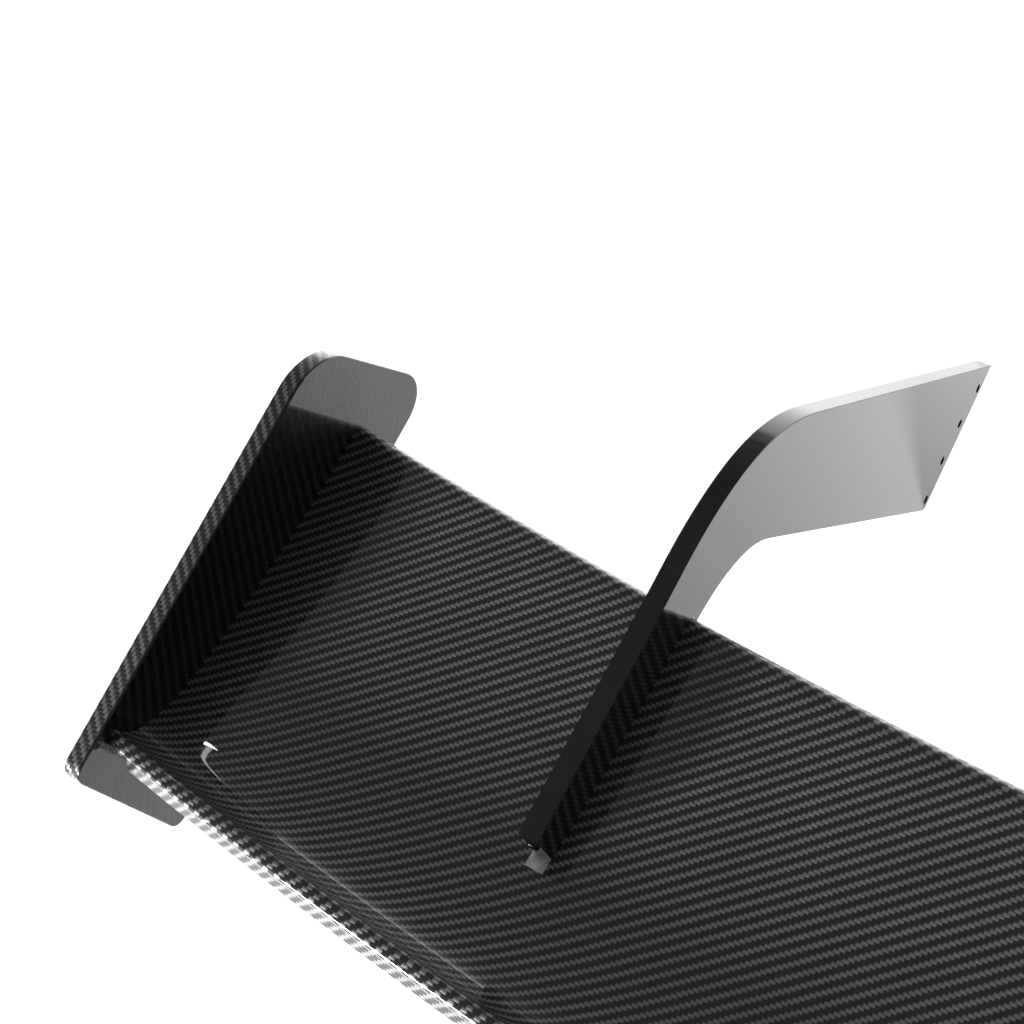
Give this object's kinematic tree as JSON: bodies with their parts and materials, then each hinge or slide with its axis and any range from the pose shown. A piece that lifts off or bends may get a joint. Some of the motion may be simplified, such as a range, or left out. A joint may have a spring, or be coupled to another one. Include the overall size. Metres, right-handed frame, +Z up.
{
  "type": "racing rear wing",
  "caption": "Carbon rear wing with a hollow top side and raised trailing lip, flat endplates, and swan-neck arms that reach over the leading edge down to bolted feet.",
  "frame": {"origin": "midway between the two arm feet, on the deck that their lower edges stand on", "axes": "+X along the span to the right end, +Y forward, +Z up"},
  "size_m": [1.1218, 0.515, 0.4443],
  "materials": {
    "carbon_twill": "gloss lacquered twill",
    "carbon_structure": "matte",
    "foam_core": "matte",
    "gloss_black_plate": "gloss",
    "black_steel": "satin",
    "steel_washer": "satin",
    "bare_aluminium": "satin"
  },
  "bodies": {
    "root": {"arm_end_screw_left": "black_steel", "arm_end_screw_right": "black_steel", "arm_screw_washers_left": "steel_washer", "arm_screw_washers_right": "steel_washer", "arm_screws_left": "black_steel", "arm_screws_right": "black_steel", "arm_shoe_left": "bare_aluminium", "arm_shoe_right": "bare_aluminium", "centre_rib": "carbon_structure", "endplate_core_left": "foam_core", "endplate_core_right": "foam_core", "endplate_inner_skin_left": "carbon_twill", "endplate_inner_skin_right": "carbon_twill", "endplate_outer_skin_left": "carbon_twill", "endplate_outer_skin_right": "carbon_twill", "endplate_screws_left": "black_steel", "endplate_screws_right": "black_steel", "endplate_washers_left": "steel_washer", "endplate_washers_right": "steel_washer", "front_spar": "carbon_structure", "lip_strip": "carbon_twill", "lower_skin": "carbon_twill", "mount_block_left": "bare_aluminium", "mount_block_right": "bare_aluminium", "mount_ribs_left": "carbon_structure", "mount_ribs_right": "carbon_structure", "rear_spar": "carbon_structure", "swan_neck_left": "gloss_black_plate", "swan_neck_right": "gloss_black_plate", "tip_inserts_left": "bare_aluminium", "tip_inserts_right": "bare_aluminium", "tip_rib_left": "carbon_structure", "tip_rib_right": "carbon_structure", "upper_skin": "carbon_twill"}
  },
  "joints": []
}
